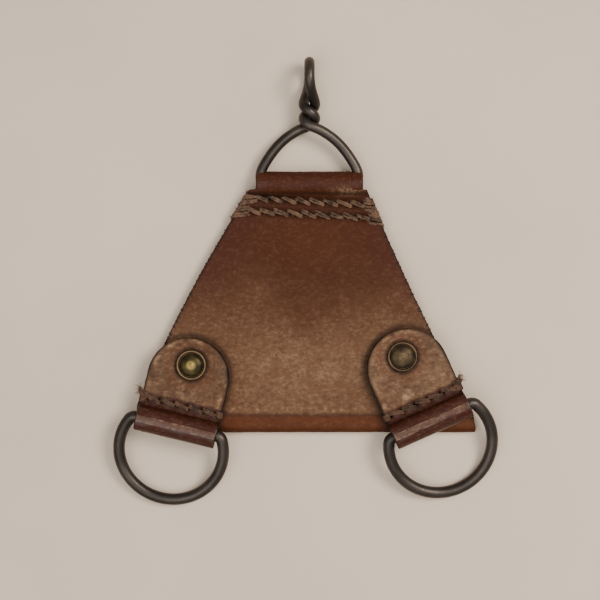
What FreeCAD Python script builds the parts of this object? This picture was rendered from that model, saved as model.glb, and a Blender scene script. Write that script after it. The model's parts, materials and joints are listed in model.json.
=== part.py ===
import FreeCAD, Part
import math
import os

import Sketcher
from FreeCAD import Placement, Rotation, Vector

# A leather strap yoke. A folded, trapezoid leather panel holds a twisted wire hanger in its top fold and
# carries two riveted and sewn leather tabs, each with a wire D-ring in its folded end. It lies face up:
# +Z comes out of the front, +Y runs towards the hanger, and the origin is the middle of the flat back.

DIMENSIONS = {
    # panel
    "leather": 2.1, "layer_gap": 0.2, "panel_height": 81.0, "blank_width": 124.0,
    "top_centre": 1.7, "roll_half_width": 13.0, "shoulder_height": 34.7, "notch_height": 34.9,
    "shoulder_left": 16.8, "shoulder_right": 19.5, "low_left": 53.2, "low_right": 52.6,
    "low_height": 35.0, "foot_left": 53.8, "foot_right": 53.9, "bow_left": 1.65, "bow_right": 0.8,
    "crease_bend": 3.0, "flap_end": 24.0, "flap_thick": 1.35, "flap_seam": 0.4, "tongue_end": 33.0,
    "slit": 0.1, "running_clear": 0.1, "outline_margin": 3.0,
    # hanger
    "hanger_wire": 3.2, "hanger_half": 13.0, "twist_radius": 1.75, "twist_pitch": 8.6,
    "crossing": 17.9, "eye_centre": 32.3, "eye_radius": 5.0, "hanger_tilt": 5.0,
    # D-rings
    "ring_wire": 3.6, "ring_radius": 16.2, "bar_offset": 8.1, "ring_bend": 2.2, "ring_tilt": 15.7,
    # tabs
    "tab_leather": 2.1, "tab_width": 25.2, "tab_skive": 1.4, "tab_gap": 0.05, "tab_seat": 0.02,
    "tab_sink": 0.3, "tab_past_rivet": 8.2, "tab_end_radius": 12.2, "tab_crease": 1.2,
    "left_bar_x": -39.1, "left_bar_y": -38.1, "left_turn": 13.5, "left_rivet_reach": 19.3,
    "right_bar_x": 39.0, "right_bar_y": -36.4, "right_turn": 24.0, "right_rivet_reach": 21.5,
    # rivets
    "shank": 3.2, "shank_hole": 3.3, "head_radius": 3.6, "head_height": 1.5, "head_edge": 0.25,
    "cup_radius": 4.7, "cup_thick": 0.5, "cup_rim": 0.9, "cup_sink": 0.3,
    "burr_radius": 4.2, "burr_thick": 0.7, "burr_recess": 1.25, "tail_radius": 2.6, "tail_height": 0.45,
    # sewing
    "thread": 1.1, "thread_hole": 1.6, "crown": 0.5, "thread_back": 0.8, "back_groove": 0.9,
    "row_turn": 3.5, "row_pitch": 4.3, "upper_row_x": 1.8, "upper_row_y": 31.2, "upper_wrap": 3.9,
    "lower_row_x": 1.5, "lower_row_y": 27.2, "lower_wrap": 3.85, "front_sink": 0.1,
    "tab_row_y": 6.4, "tab_pitch": 4.4, "seam_thread": 0.6, "seam_pitch": 3.6, "seam_rise": 3.4,
}
UPPER_STITCHES = 8
LOWER_STITCHES = 9
TAB_STITCHES = 5
SEAM_FIRST = 22.0
SEAM_STITCHES = 10
HANGER_PIECES = 22


class Size:
    """A number with the spreadsheet formula that gives it, so a sketch is drawn and bound at once."""

    def __init__(self, number, text):
        self.number = float(number)
        self.text = text

    @staticmethod
    def of(value):
        return value if isinstance(value, Size) else Size(value, repr(float(value)))

    def __add__(self, other):
        other = Size.of(other)
        return Size(self.number + other.number, f"({self.text} + {other.text})")

    def __sub__(self, other):
        other = Size.of(other)
        return Size(self.number - other.number, f"({self.text} - {other.text})")

    def __mul__(self, other):
        other = Size.of(other)
        return Size(self.number * other.number, f"({self.text} * {other.text})")

    def __truediv__(self, other):
        other = Size.of(other)
        return Size(self.number / other.number, f"({self.text} / {other.text})")

    def __neg__(self):
        return Size(-self.number, f"(-1 * {self.text})")

    __radd__ = __add__
    __rmul__ = __mul__

    def __rsub__(self, other):
        return Size.of(other) - self

    def root(self):
        return Size(math.sqrt(self.number), f"sqrt({self.text})")


class Sizes:
    """The driving dimensions as attributes, each a Size that names its cell."""

    def __init__(self, table):
        for alias, number in table.items():
            setattr(self, alias, Size(number, f"sizes.{alias}"))


doc = FreeCAD.newDocument("strap_yoke")


def make_sheet():
    sheet = doc.addObject("Spreadsheet::Sheet", "sizes")
    for row, (alias, number) in enumerate(DIMENSIONS.items(), start=1):
        sheet.set(f"A{row}", alias)
        sheet.set(f"B{row}", str(number))
        sheet.setAlias(f"B{row}", alias)
    doc.recompute()


make_sheet()
s = Sizes(DIMENSIONS)
ZERO = Size(0, "0")
PANEL_TOP = s.panel_height / 2
PANEL_THICK = s.leather * 2 + s.layer_gap
HANGER_BORE = s.hanger_wire / 2 + s.running_clear
HANGER_ROLL = HANGER_BORE + s.leather
HANGER_Y = PANEL_TOP - HANGER_ROLL
RING_BORE = s.ring_wire / 2 + s.running_clear
RING_ROLL = RING_BORE + s.tab_leather
BAR_Z = PANEL_THICK + s.tab_seat + RING_ROLL
TAB_TOP_Z = BAR_Z - s.tab_sink


# ---- sketching helpers ----------------------------------------------------------------------------------

def new_body(label):
    body = doc.addObject("PartDesign::Body", label)
    body.Label = label
    return body


def new_sketch(body, role, name, offset=None):
    """A sketch on one of the body's own origin planes, moved within that plane's frame by offset."""
    plane = next(f for f in body.Origin.OriginFeatures if f.Role == role)
    sketch = body.newObject("Sketcher::SketchObject", name)
    sketch.AttachmentSupport = [(plane, "")]
    sketch.MapMode = "FlatFace"
    if offset is not None:
        sketch.AttachmentOffset = offset
    return sketch


def bind(sketch, index, size):
    sketch.setExpression(f"Constraints[{index}]", size.text)


def pin(sketch, geometry, point, x=None, y=None):
    """Fixes a sketch point's coordinates, each bound to its formula; a zero puts the point on the axis."""
    for size, kind, axis in ((x, "DistanceX", -2), (y, "DistanceY", -1)):
        if size is None:
            continue
        if abs(size.number) < 1e-9:
            sketch.addConstraint(Sketcher.Constraint("PointOnObject", geometry, point, axis))
        else:
            made = Sketcher.Constraint(kind, -1, 1, geometry, point, size.number)
            bind(sketch, sketch.addConstraint(made), size)


def arc_between(p, q, centre, counterclockwise):
    """An arc about centre from p to q, with the arc's own point numbers for p and q."""
    radius = (p - centre).Length
    start, end = (math.atan2(v.y - centre.y, v.x - centre.x) for v in (p, q))
    circle = Part.Circle(centre, Vector(0, 0, 1), radius)
    if counterclockwise:
        return Part.ArcOfCircle(circle, start, end), 1, 2
    return Part.ArcOfCircle(circle, end, start), 2, 1


def bow_centre(p, q, bow):
    """The centre of the arc from p to q that bulges by bow to the right of that direction."""
    along = q - p
    right = Vector(along.y, -along.x, 0).normalize()
    radius = (along.Length ** 2 / 4 + bow ** 2) / (2 * bow)
    return (p + q) / 2 + right * (bow - radius)


def outline(sketch, corners, arcs=None):
    """Draws a closed outline through corners. arcs maps an edge's number to ("centre", x, y, turn) or to
    ("bow", sagitta, turn), where turn is True for counterclockwise."""
    arcs = arcs or {}
    points = [Vector(x.number, y.number, 0) for x, y in corners]
    edges = []
    for i, p in enumerate(points):
        q = points[(i + 1) % len(points)]
        if i not in arcs:
            shape, first, last = Part.LineSegment(p, q), 1, 2
        elif arcs[i][0] == "centre":
            centre = Vector(arcs[i][1].number, arcs[i][2].number, 0)
            shape, first, last = arc_between(p, q, centre, arcs[i][3])
        else:
            bow = arcs[i][1].number if arcs[i][2] else -arcs[i][1].number
            shape, first, last = arc_between(p, q, bow_centre(p, q, bow), arcs[i][2])
        edges.append((sketch.addGeometry(shape), first, last))
    for i, (geometry, first, last) in enumerate(edges):
        following, start, _ = edges[(i + 1) % len(edges)]
        sketch.addConstraint(Sketcher.Constraint("Coincident", geometry, last, following, start))
        pin(sketch, geometry, first, *corners[i])
    for i, arc in arcs.items():
        p, q = points[i], points[(i + 1) % len(points)]
        if arc[0] == "centre":
            upright = abs(q.y - p.y) > abs(q.x - p.x)
            pin(sketch, edges[i][0], 3, *((arc[1], None) if upright else (None, arc[2])))
        else:
            (px, py), (qx, qy) = corners[i], corners[(i + 1) % len(corners)]
            chord_squared = (qx - px) * (qx - px) + (qy - py) * (qy - py)
            radius = (chord_squared / 4 + arc[1] * arc[1]) / (arc[1] * 2)
            made = Sketcher.Constraint("Radius", edges[i][0], radius.number)
            bind(sketch, sketch.addConstraint(made), radius)


def circle(sketch, x, y, radius):
    made = Part.Circle(Vector(x.number, y.number, 0), Vector(0, 0, 1), radius.number)
    geometry = sketch.addGeometry(made)
    pin(sketch, geometry, 3, x, y)
    bind(sketch, sketch.addConstraint(Sketcher.Constraint("Radius", geometry, radius.number)), radius)


def rectangle(sketch, x0, y0, x1, y1):
    outline(sketch, [(x0, y0), (x1, y0), (x1, y1), (x0, y1)])


def pad(body, sketch, length, midplane=True):
    feature = body.newObject("PartDesign::Pad", sketch.Name + "_pad")
    feature.Profile = sketch
    feature.Midplane = midplane
    feature.setExpression("Length", length.text)
    doc.recompute()
    return feature


def pocket(body, sketch, depth=None, upwards=False):
    """Cuts the sketch through everything both ways, or from its plane by depth, upwards along +Z if asked."""
    before = body.Shape.Volume
    feature = body.newObject("PartDesign::Pocket", sketch.Name + "_cut")
    feature.Profile = sketch
    if depth is None:
        feature.Type = "ThroughAll"
        feature.Midplane = True
    else:
        feature.Type = "Length"
        feature.Reversed = upwards
        feature.setExpression("Length", depth.text)
    doc.recompute()
    if not body.Shape.Volume < before - 1e-3:
        raise ValueError(f"{feature.Name} cut nothing")
    return feature


def revolve(body, sketch):
    feature = body.newObject("PartDesign::Revolution", sketch.Name + "_turned")
    feature.Profile = sketch
    feature.ReferenceAxis = (sketch, ["V_Axis"])
    feature.Angle = 360.0
    doc.recompute()
    return feature


def place(thing, x, y, z, turn=None, clockwise=False):
    """Puts a sub-part at x, y, z, turned about Z, with each number bound to its formula."""
    angle = turn or ZERO
    axis = Vector(0, 0, -1 if clockwise else 1)
    thing.Placement = Placement(Vector(x.number, y.number, z.number), Rotation(axis, angle.number))
    for name, size in (("x", x), ("y", y), ("z", z)):
        thing.setExpression(f"Placement.Base.{name}", size.text)
    if turn is not None:
        thing.setExpression("Placement.Rotation.Angle", turn.text)


# ---- where the tabs and rows lie -------------------------------------------------------------------------

class Side:
    """One lower corner of the yoke: where its tab's D-ring bar lies and how the tab is turned."""

    def __init__(self, name, bar_x, bar_y, turn, clockwise, rivet_reach):
        self.name = name
        self.bar_x = bar_x
        self.bar_y = bar_y
        self.turn = turn
        self.clockwise = clockwise
        self.rivet_reach = rivet_reach

    def plan(self, height=ZERO):
        """The tab's frame, with its origin over the bar's middle, as an attachment offset."""
        axis = Vector(0, 0, -1 if self.clockwise else 1)
        base = Vector(self.bar_x.number, self.bar_y.number, height.number)
        return Placement(base, Rotation(axis, self.turn.number))


SIDES = (
    Side("left", s.left_bar_x, s.left_bar_y, s.left_turn, True, s.left_rivet_reach),
    Side("right", s.right_bar_x, s.right_bar_y, s.right_turn, False, s.right_rivet_reach),
)
ROWS = (
    ("upper_stitch_row", s.upper_row_x, s.upper_row_y, UPPER_STITCHES, s.upper_wrap),
    ("lower_stitch_row", s.lower_row_x, s.lower_row_y, LOWER_STITCHES, s.lower_wrap),
)


def follow(sketch, x, y, turn):
    """Binds a sketch's attachment offset to the formulas that placed it."""
    sketch.setExpression("AttachmentOffset.Base.x", x.text)
    sketch.setExpression("AttachmentOffset.Base.y", y.text)
    sketch.setExpression("AttachmentOffset.Rotation.Angle", turn.text)


def row_frame(x, y, height=ZERO):
    return Placement(Vector(x.number, y.number, height.number), Rotation(Vector(0, 0, -1), s.row_turn.number))


def hole_line(sketch, count, pitch, y=ZERO):
    """The awl holes of a row of count stitches, centred on the sketch's origin."""
    for i in range(count + 1):
        circle(sketch, pitch * (i - count / 2), y, s.thread_hole / 2)


# ---- the leather panel -----------------------------------------------------------------------------------

def panel_section(sketch):
    """The folded sheet seen from the side: a fold at the foot, two layers, and a roll round the hanger's bar.
    The back layer ends in a thin tongue between the front layer and the flap from the roll."""
    foot = -PANEL_TOP + PANEL_THICK / 2
    inner_back = s.leather + s.layer_gap / 4
    inner_front = s.leather + s.layer_gap
    bore_rise = HANGER_ROLL - inner_front
    bore_start = HANGER_Y - (HANGER_BORE * HANGER_BORE - bore_rise * bore_rise).root()
    crease_rise = PANEL_THICK + s.crease_bend - HANGER_ROLL
    crease_reach = HANGER_ROLL + s.crease_bend
    crease_span = (crease_reach * crease_reach - crease_rise * crease_rise).root()
    crease_y = HANGER_Y - crease_span
    share = HANGER_ROLL / crease_reach
    corners = [
        (foot, ZERO),
        (s.flap_end - s.flap_seam, ZERO),
        (s.flap_end - s.flap_seam, s.flap_thick + s.slit),
        (s.tongue_end, s.flap_thick + s.slit),
        (s.tongue_end, inner_back),
        (foot, inner_back),
        (foot, inner_front),
        (bore_start, inner_front),
        (HANGER_Y, HANGER_ROLL - HANGER_BORE),
        (s.tongue_end + 0.6, s.flap_thick),
        (s.flap_end, s.flap_thick),
        (s.flap_end, ZERO),
        (HANGER_Y, ZERO),
        (HANGER_Y - crease_span * share, HANGER_ROLL + crease_rise * share),
        (crease_y, PANEL_THICK),
        (foot, PANEL_THICK),
    ]
    arcs = {
        5: ("centre", foot, (inner_back + inner_front) / 2, False),
        7: ("centre", HANGER_Y, HANGER_ROLL, False),
        12: ("centre", HANGER_Y, HANGER_ROLL, True),
        13: ("centre", crease_y, PANEL_THICK + s.crease_bend, False),
        15: ("centre", foot, PANEL_THICK / 2, True),
    }
    outline(sketch, corners, arcs)


def panel_plan(sketch):
    """A frame round the trapezoid outline: pocketing it leaves the panel's shape."""
    edge = s.blank_width / 2 + s.outline_margin
    rectangle(sketch, -edge, -PANEL_TOP - s.outline_margin * 2, edge, PANEL_TOP + s.outline_margin * 2)
    top = PANEL_TOP + s.outline_margin
    corners = [
        (s.top_centre - s.roll_half_width, top),
        (s.top_centre - s.roll_half_width, s.notch_height),
        (-s.shoulder_left, s.shoulder_height),
        (-s.low_left, -s.low_height),
        (-s.foot_left, -PANEL_TOP - s.outline_margin),
        (s.foot_right, -PANEL_TOP - s.outline_margin),
        (s.low_right, -s.low_height),
        (s.shoulder_right, s.shoulder_height),
        (s.top_centre + s.roll_half_width, s.notch_height),
        (s.top_centre + s.roll_half_width, top),
    ]
    arcs = {2: ("bow", s.bow_left, True), 6: ("bow", s.bow_right, False)}
    outline(sketch, corners, arcs)


def make_panel():
    body = new_body("body_panel")
    section = new_sketch(body, "YZ_Plane", "panel_section")
    panel_section(section)
    pad(body, section, s.blank_width)
    plan = new_sketch(body, "XY_Plane", "panel_plan")
    panel_plan(plan)
    pocket(body, plan)
    for side in SIDES:
        rivet = new_sketch(body, "XY_Plane", f"{side.name}_rivet_hole", side.plan())
        follow(rivet, side.bar_x, side.bar_y, side.turn)
        circle(rivet, ZERO, side.rivet_reach, s.shank_hole / 2)
        pocket(body, rivet)
        recess = new_sketch(body, "XY_Plane", f"{side.name}_burr_recess", side.plan())
        follow(recess, side.bar_x, side.bar_y, side.turn)
        circle(recess, ZERO, side.rivet_reach, s.burr_radius + s.running_clear)
        pocket(body, recess, s.burr_recess, upwards=True)
        holes = new_sketch(body, "XY_Plane", f"{side.name}_awl_holes", side.plan())
        follow(holes, side.bar_x, side.bar_y, side.turn)
        hole_line(holes, TAB_STITCHES, s.tab_pitch, s.tab_row_y)
        pocket(body, holes)
        groove = new_sketch(body, "XY_Plane", f"{side.name}_back_groove", side.plan())
        follow(groove, side.bar_x, side.bar_y, side.turn)
        thread_groove(groove, s.tab_pitch * (TAB_STITCHES / 2), s.tab_row_y)
        pocket(body, groove, s.back_groove, upwards=True)
    for name, x, y, count, wrap in ROWS:
        holes = new_sketch(body, "XY_Plane", name + "_holes", row_frame(x, y))
        follow(holes, x, y, s.row_turn)
        hole_line(holes, count, s.row_pitch)
        pocket(body, holes)
        reach = s.row_pitch * (count / 2) + wrap
        groove = new_sketch(body, "XY_Plane", name + "_groove", row_frame(x, y))
        follow(groove, x, y, s.row_turn)
        thread_groove(groove, reach, ZERO)
        pocket(body, groove, s.back_groove, upwards=True)
        floor = PANEL_THICK - s.front_sink
        front = new_sketch(body, "XY_Plane", name + "_front_groove", row_frame(x, y, floor))
        follow(front, x, y, s.row_turn)
        front.setExpression("AttachmentOffset.Base.z", floor.text)
        thread_groove(front, reach, ZERO)
        pocket(body, front, s.thread + s.crown, upwards=True)
    return body


def thread_groove(sketch, half_length, y):
    """The channel that a row's thread lies in. On the front it also clears the crease below the roll."""
    side = s.thread_hole / 2 + s.running_clear
    rectangle(sketch, -half_length - side, y - side, half_length + side, y + side)


# ---- tabs --------------------------------------------------------------------------------------------------

def tab_section(sketch, length):
    """The tab's strip seen from the side, folded round the D-ring's bar at the origin. The lower layer is
    skived thin, and both layers run on together to the rounded end."""
    under = -RING_ROLL
    lower_top = under + s.tab_skive
    upper_under = lower_top + s.tab_gap
    crease_rise = s.tab_crease - s.tab_sink
    reach = RING_ROLL + s.tab_crease
    crease_span = (reach * reach - crease_rise * crease_rise).root()
    share = RING_ROLL / reach
    corners = [
        (ZERO, under),
        (length, under),
        (length, lower_top),
        (RING_ROLL, lower_top),
        (ZERO, -RING_BORE),
        (RING_BORE * 0.8, RING_BORE * -0.6),
        (RING_ROLL, upper_under),
        (length, upper_under),
        (length, -s.tab_sink),
        (crease_span, -s.tab_sink),
        (crease_span * share, crease_rise * share),
    ]
    arcs = {
        4: ("centre", ZERO, ZERO, False),
        9: ("centre", crease_span, crease_rise, False),
        10: ("centre", ZERO, ZERO, True),
    }
    outline(sketch, corners, arcs)


def tab_plan(sketch, length):
    """A frame round the tab's outline, with its far end cut to a half round."""
    half = s.tab_width / 2
    edge = half + s.outline_margin
    rectangle(sketch, -edge, -RING_ROLL - s.outline_margin, edge, length + s.outline_margin)
    shoulder = length - s.tab_end_radius
    dip = (s.tab_end_radius * s.tab_end_radius - half * half)
    if dip.number > 0:
        raise ValueError("the tab's end is wider than the tab")
    corners = [
        (-half, -RING_ROLL - s.outline_margin / 2),
        (half, -RING_ROLL - s.outline_margin / 2),
        (half, shoulder),
        (ZERO, length),
        (-half, shoulder),
    ]
    square = half * half + s.tab_end_radius * s.tab_end_radius
    sweep = square / (s.tab_end_radius * 2)
    arcs = {2: ("centre", ZERO, length - sweep, True), 3: ("centre", ZERO, length - sweep, True)}
    outline(sketch, corners, arcs)


def make_tab(side):
    length = side.rivet_reach + s.tab_past_rivet
    body = new_body(f"{side.name}_tab")
    section = new_sketch(body, "YZ_Plane", f"{side.name}_tab_section")
    tab_section(section, length)
    pad(body, section, s.tab_width + 1)
    plan = new_sketch(body, "XY_Plane", f"{side.name}_tab_plan")
    tab_plan(plan, length)
    pocket(body, plan)
    holes = new_sketch(body, "XY_Plane", f"{side.name}_tab_holes")
    circle(holes, ZERO, side.rivet_reach, s.shank_hole / 2)
    hole_line(holes, TAB_STITCHES, s.tab_pitch, s.tab_row_y)
    pocket(body, holes)
    seat = new_sketch(body, "XY_Plane", f"{side.name}_cup_seat")
    circle(seat, ZERO, side.rivet_reach, s.cup_radius + s.running_clear)
    pocket(body, seat, s.tab_sink + s.cup_sink)
    place(body, side.bar_x, side.bar_y, BAR_Z, side.turn, side.clockwise)
    return body


# ---- D-rings -----------------------------------------------------------------------------------------------

def make_ring(side):
    """A round wire bent to a D: a straight bar, two corner bends and one long bow."""
    body = new_body(f"{side.name}_d_ring")
    tilt = Placement(Vector(), Rotation(Vector(1, 0, 0), s.ring_tilt.number))
    path = new_sketch(body, "XY_Plane", f"{side.name}_ring_path", tilt)
    path.setExpression("AttachmentOffset.Rotation.Angle", s.ring_tilt.text)
    inner = s.ring_radius - s.ring_bend
    lift = s.bar_offset - s.ring_bend
    bend_x = (inner * inner - lift * lift).root()
    share = s.ring_radius / inner
    corners = [
        (-bend_x, ZERO),
        (bend_x, ZERO),
        (bend_x * share, lift * share - s.bar_offset),
        (-bend_x * share, lift * share - s.bar_offset),
    ]
    arcs = {
        1: ("centre", bend_x, -s.ring_bend, False),
        2: ("centre", ZERO, -s.bar_offset, False),
        3: ("centre", -bend_x, -s.ring_bend, False),
    }
    outline(path, corners, arcs)
    profile = new_sketch(body, "YZ_Plane", f"{side.name}_ring_wire")
    circle(profile, ZERO, ZERO, s.ring_wire / 2)
    pipe = body.newObject("PartDesign::AdditivePipe", f"{side.name}_ring_sweep")
    pipe.Profile = profile
    pipe.Spine = path
    doc.recompute()
    place(body, side.bar_x, side.bar_y, BAR_Z, side.turn, side.clockwise)
    return body


# ---- rivets ------------------------------------------------------------------------------------------------

def rivet_place(side):
    """The rivet's position in the panel's frame, as formulas."""
    sign = 1 if side.clockwise else -1
    turn = side.turn.text
    along_x = Size(math.sin(math.radians(side.turn.number)), f"sin({turn})")
    along_y = Size(math.cos(math.radians(side.turn.number)), f"cos({turn})")
    return side.bar_x + side.rivet_reach * along_x * sign, side.bar_y + side.rivet_reach * along_y


def make_rivet(side):
    """A solid brass rivet: domed head, shank, and a tail spread over the burr."""
    body = new_body(f"{side.name}_rivet")
    seat = TAB_TOP_Z - s.cup_sink + s.cup_thick
    burr_under = s.burr_recess - s.burr_thick
    half = s.shank / 2
    rise = s.head_height - s.head_edge
    dome = (s.head_radius * s.head_radius + rise * rise) / (rise * 2)
    spread = (s.tail_radius * s.tail_radius + s.tail_height * s.tail_height) / (s.tail_height * 2)
    sketch = new_sketch(body, "XZ_Plane", f"{side.name}_rivet_section")
    corners = [
        (ZERO, burr_under - s.tail_height),
        (s.tail_radius, burr_under),
        (half, burr_under),
        (half, seat),
        (s.head_radius, seat),
        (s.head_radius, seat + s.head_edge),
        (ZERO, seat + s.head_height),
    ]
    arcs = {
        0: ("centre", ZERO, burr_under - s.tail_height + spread, True),
        5: ("centre", ZERO, seat + s.head_height - dome, True),
    }
    outline(sketch, corners, arcs)
    revolve(body, sketch)
    x, y = rivet_place(side)
    place(body, x, y, ZERO)
    return body


def make_cup_washer(side):
    """The dished washer under the rivet's head, with a raised rim."""
    body = new_body(f"{side.name}_cup_washer")
    seat = TAB_TOP_Z - s.cup_sink
    slack = s.running_clear / 5
    sketch = new_sketch(body, "XZ_Plane", f"{side.name}_cup_section")
    corners = [
        (s.shank / 2 + slack, seat + slack),
        (s.cup_radius, seat + slack),
        (s.cup_radius, seat + s.cup_rim - 0.2),
        (s.cup_radius - 0.35, seat + s.cup_rim),
        (s.head_radius + 0.25, seat + s.cup_rim - 0.15),
        (s.head_radius + 0.12, seat + s.cup_thick - slack),
        (s.shank / 2 + slack, seat + s.cup_thick - slack),
    ]
    outline(sketch, corners)
    revolve(body, sketch)
    x, y = rivet_place(side)
    place(body, x, y, ZERO)
    return body


def make_burr(side):
    """The flat washer that the rivet's tail is spread over, pressed into the panel's back."""
    body = new_body(f"{side.name}_rivet_burr")
    slack = s.running_clear / 5
    sketch = new_sketch(body, "XZ_Plane", f"{side.name}_burr_section")
    low = s.burr_recess - s.burr_thick + slack
    high = s.burr_recess - slack
    rectangle(sketch, s.shank / 2 + slack, low, s.burr_radius, high)
    revolve(body, sketch)
    x, y = rivet_place(side)
    place(body, x, y, ZERO)
    return body


# ---- sewing ------------------------------------------------------------------------------------------------

def stitch_row(name, count, pitch, front, wrap=None):
    """A saddle-stitched row as one thread solid: crowned stitches on the front, a flush run on the back and a
    leg through every awl hole. With wrap, the thread also goes round the panel's edge at both ends."""
    body = new_body(name)
    sketch = new_sketch(body, "XZ_Plane", name + "_thread")
    half = s.thread / 2
    back = s.back_groove - s.thread_back
    stops = [pitch * (i - count / 2) for i in range(count + 1)]
    if wrap is not None:
        stops = [stops[0] - wrap] + stops + [stops[-1] + wrap]
    top = front + s.thread * 0.8
    corners = [(stops[0] - half, back), (stops[-1] + half, back), (stops[-1] + half, top)]
    corners += [(stop, top) for stop in reversed(stops[1:-1])]
    corners += [(stops[0] - half, top)]
    arcs = {}
    for edge in range(2, len(corners) - 1):
        arcs[edge] = ("bow", s.crown, True)
    outline(sketch, corners, arcs)
    for low, high in zip(stops, stops[1:]):
        rectangle(sketch, low + half, s.back_groove, high - half, front + 0.05)
    pad(body, sketch, s.thread)
    return body


def make_panel_rows():
    made = []
    for name, x, y, count, wrap in ROWS:
        body = stitch_row(name, count, s.row_pitch, PANEL_THICK, wrap)
        place(body, x, y, ZERO, s.row_turn, clockwise=True)
        made.append(body)
    return made


def make_tab_row(side):
    body = stitch_row(f"{side.name}_tab_stitches", TAB_STITCHES, s.tab_pitch, TAB_TOP_Z)
    sign = 1 if side.clockwise else -1
    turn = side.turn.text
    along_x = Size(math.sin(math.radians(side.turn.number)), f"sin({turn})")
    along_y = Size(math.cos(math.radians(side.turn.number)), f"cos({turn})")
    x = side.bar_x + s.tab_row_y * along_x * sign
    y = side.bar_y + s.tab_row_y * along_y
    place(body, x, y, ZERO, side.turn, side.clockwise)
    return body


def make_side_seam(side_name, upper, lower, bow):
    """The closing seam's short stitches, which stand on the panel's cut edge from layer to layer."""
    radius = s.seam_thread.number / 2
    chord = lower - upper
    outward = Vector(chord.y, -chord.x, 0).normalize() * (1 if side_name == "right" else -1)
    outward = outward if outward.x * upper.x > 0 else -outward
    low = (PANEL_THICK.number - s.seam_rise.number) / 2
    solids = []
    for i in range(SEAM_STITCHES):
        y = SEAM_FIRST - i * s.seam_pitch.number
        share = (y - upper.y) / chord.y
        sagitta = bow * 4 * share * (1 - share)
        at = upper + chord * share + outward * (sagitta + radius + s.running_clear.number)
        solids.append(Part.makeCylinder(radius, s.seam_rise.number, Vector(at.x, at.y, low)))
    seam = doc.addObject("Part::Feature", f"{side_name}_side_seam")
    seam.Label = f"{side_name}_side_seam"
    seam.Shape = Part.makeCompound(solids)
    return seam


def make_side_seams():
    height = s.shoulder_height.number
    low = -s.low_height.number
    left = (Vector(-s.shoulder_left.number, height, 0), Vector(-s.low_left.number, low, 0))
    right = (Vector(s.shoulder_right.number, height, 0), Vector(s.low_right.number, low, 0))
    return [
        make_side_seam("left", *left, s.bow_left.number),
        make_side_seam("right", *right, -s.bow_right.number),
    ]


# ---- the twisted wire hanger -------------------------------------------------------------------------------

def arm_points():
    """The right arm's centreline, out of the bar's end and leaning forward to the crossing."""
    return [
        Vector(14.5, 0.62, 0.0), Vector(15.1, 2.1, 0.0), Vector(14.6, 4.5, 0.05), Vector(13.1, 7.2, 0.15),
        Vector(10.4, 10.9, 0.45), Vector(7.2, 14.0, 0.9), Vector(4.2, 16.0, 1.35), Vector(1.8, 17.15, 1.68),
    ]


def twist_points():
    """The strand's three quarters of a turn round the other one, from the crossing upwards."""
    radius = s.twist_radius.number
    step = 45
    points = []
    for angle in range(90, 361, step):
        height = s.crossing.number + s.twist_pitch.number * (angle - 90) / 360
        turned = math.radians(angle)
        points.append(Vector(radius * math.cos(turned), height, radius * math.sin(turned)))
    return points


def eye_points():
    """The strand's way out of the twist and up the front of the eye to its top."""
    centre, radius = s.eye_centre.number, s.eye_radius.number
    points = [Vector(1.5, 25.6, 1.1), Vector(0.95, 27.3, 2.5), Vector(0.35, 29.4, 4.1)]
    for angle in (0, 30, 60, 90):
        turned = math.radians(angle)
        points.append(Vector(0, centre + radius * math.sin(turned), radius * math.cos(turned)))
    return points


def arc_pieces(p, t, q, u):
    """Two arcs that lead from p along t to q along u without a kink, each as (start, tangent, end)."""
    span, both = q - p, t + u
    turn = 2 * (1 - t.dot(u))
    reach = span.dot(both)
    if turn < 1e-6:
        arm = span.dot(span) / (2 * reach)
    else:
        arm = (math.sqrt(reach * reach + turn * span.dot(span)) - reach) / turn
    middle = (p + q + (t - u) * arm) / 2
    along = ((q - u * arm) - (p + t * arm)).normalize()
    return [(p, t, middle), (middle, along, q)]


def wire_piece(start, along, end, upright, radius):
    """A length of round wire from start to end, leaving start in the direction along. Returns its solid and
    where the direction upright, which stays square to the wire, has turned to by its end."""
    ring = Part.makeCircle(radius)
    ring.Placement = Placement(start, Rotation(upright, along.cross(upright), along, "ZXY"))
    disc = Part.Face(Part.Wire(ring))
    chord = end - start
    inward = chord - along * along.dot(chord)
    if inward.Length < 1e-5 * chord.Length:
        return disc.extrude(chord), upright
    inward.normalize()
    bend = chord.dot(chord) / (2 * chord.dot(inward))
    axis = along.cross(inward)
    angle = 2 * math.degrees(math.asin(min(1.0, chord.Length / (2 * bend))))
    return disc.revolve(start + inward * bend, axis, angle), Rotation(axis, angle).multVec(upright)


def bent_wire(curve, pieces, radius):
    """A round wire along a curve, made of short arcs so that every length of it is a true torus."""
    first, last = curve.FirstParameter, curve.LastParameter
    stations = [first + (last - first) * i / pieces for i in range(pieces + 1)]
    points = [curve.value(at) for at in stations]
    tangents = [Vector(*curve.tangent(at)[0]) for at in stations]
    upright = Vector(0, 0, 1)
    skins, caps = [], []
    for i in range(pieces):
        for start, along, end in arc_pieces(points[i], tangents[i], points[i + 1], tangents[i + 1]):
            solid, upright = wire_piece(start, along, end, upright, radius)
            skins += [f for f in solid.Faces if not isinstance(f.Surface, Part.Plane)]
            caps.append([f for f in solid.Faces if isinstance(f.Surface, Part.Plane)])
    first_cap = min(caps[0], key=lambda f: (f.CenterOfMass - points[0]).Length)
    last_cap = min(caps[-1], key=lambda f: (f.CenterOfMass - points[-1]).Length)
    shell = Part.makeCompound(skins + [first_cap, last_cap])
    shell.sewShape()
    return Part.Solid(shell.Shells[0])


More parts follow.
